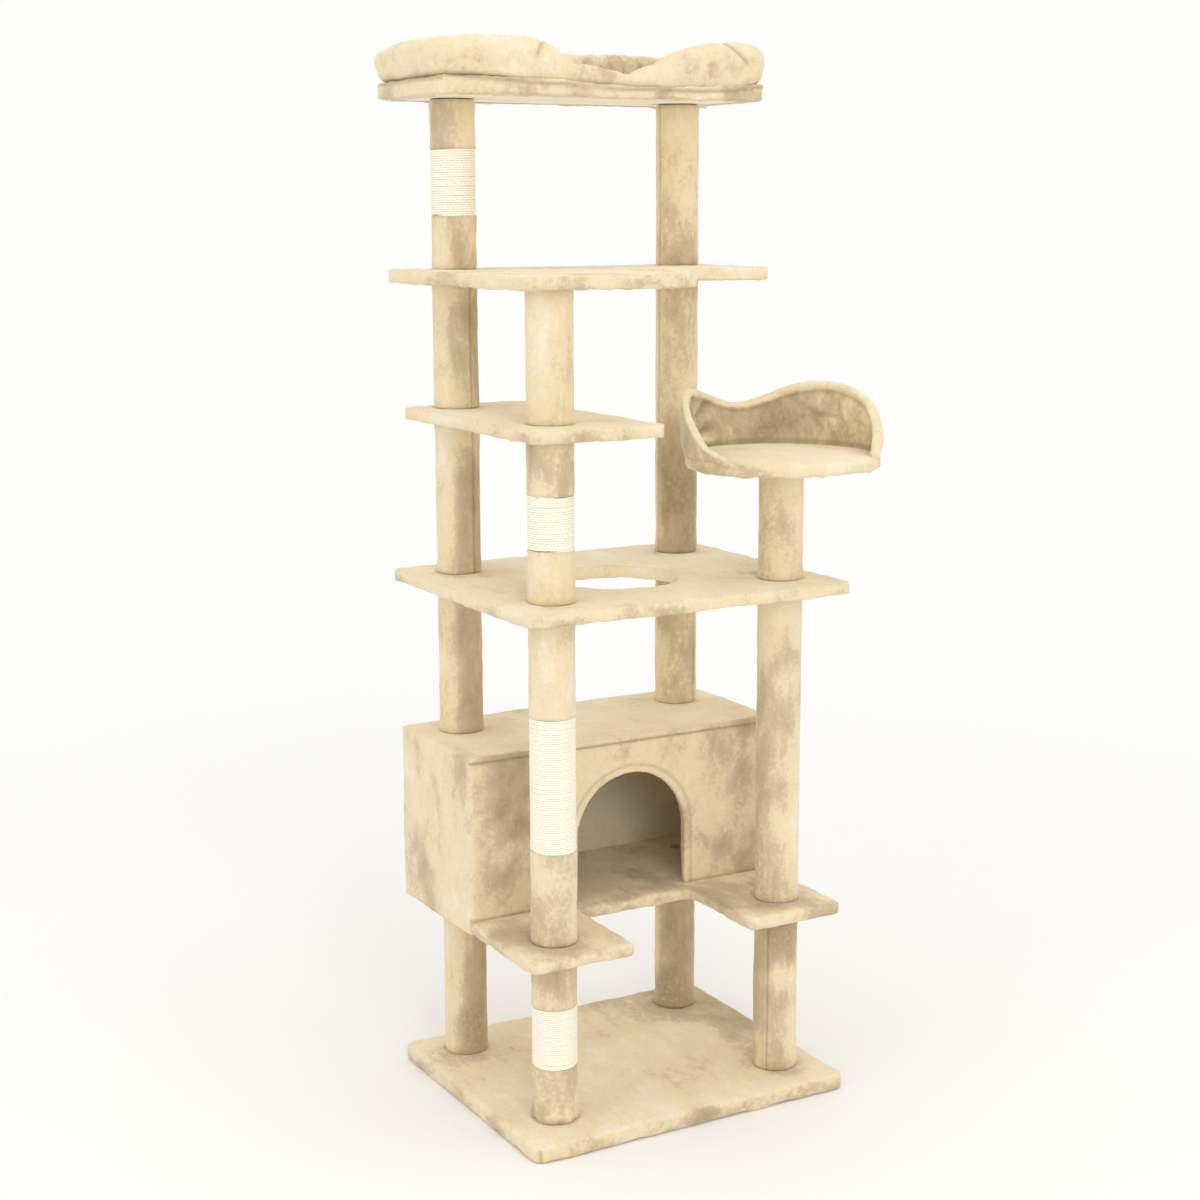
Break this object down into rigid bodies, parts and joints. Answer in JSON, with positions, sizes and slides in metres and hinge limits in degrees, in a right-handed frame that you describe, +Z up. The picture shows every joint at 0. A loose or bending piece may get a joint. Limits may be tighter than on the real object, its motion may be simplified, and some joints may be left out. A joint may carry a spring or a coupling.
{
  "type": "cat tree",
  "caption": "Tall free-standing cat tree: plush-covered posts carry a base, a condo with an arched doorway, platforms, a round perch and a top bed.",
  "frame": {"origin": "centre of the base's underside", "axes": "+Z up, +X to the right along the front, +Y to the back; the condo's doorway faces -Y"},
  "size_m": [0.7787, 0.675, 1.988],
  "materials": {
    "board_plush": "short plush, matt, over wooden board",
    "post_plush": "short plush, matt, over cardboard tube",
    "padded_plush": "short plush, matt, over padding",
    "sisal": "wound rope, matt",
    "steel": "zinc plated"
  },
  "bodies": {
    "root": {"back_left_post_1": "post_plush", "back_left_post_2": "post_plush", "back_left_post_3": "post_plush", "back_left_post_4": "post_plush", "back_left_post_5": "post_plush", "back_left_sisal_5": "sisal", "back_right_post_1": "post_plush", "back_right_post_2": "post_plush", "back_right_post_3": "post_plush", "back_right_post_4": "post_plush", "base_board": "board_plush", "base_bolt_back_left": "steel", "base_bolt_back_right": "steel", "base_bolt_front_left": "steel", "base_bolt_front_right": "steel", "bed_board": "board_plush", "bed_bolster": "padded_plush", "bed_bolt_back_left": "steel", "bed_bolt_back_right": "steel", "condo_back_wall": "board_plush", "condo_floor": "board_plush", "condo_floor_bolt_back_left": "steel", "condo_floor_bolt_back_right": "steel", "condo_front_wall": "board_plush", "condo_left_wall": "board_plush", "condo_right_wall": "board_plush", "condo_roof": "board_plush", "condo_roof_bolt_back_left": "steel", "condo_roof_bolt_back_right": "steel", "front_left_post_1": "post_plush", "front_left_post_2": "post_plush", "front_left_post_3": "post_plush", "front_left_post_4": "post_plush", "front_left_sisal_1": "sisal", "front_left_sisal_2": "sisal", "front_left_sisal_3": "sisal", "front_right_post_1": "post_plush", "front_right_post_2": "post_plush", "front_right_post_3": "post_plush", "left_shelf": "board_plush", "left_shelf_stud_back_left": "steel", "left_shelf_stud_front_left": "steel", "middle_platform": "board_plush", "perch_backrest": "padded_plush", "perch_bolt": "steel", "perch_plate": "board_plush", "platform_stud_back_left": "steel", "platform_stud_back_right": "steel", "platform_stud_front_left": "steel", "platform_stud_front_right": "steel", "step_stud_front_left": "steel", "step_stud_front_right": "steel", "upper_shelf": "board_plush", "upper_shelf_bolt_front_left": "steel", "upper_shelf_stud_back_left": "steel", "upper_shelf_stud_back_right": "steel"}
  },
  "joints": []
}
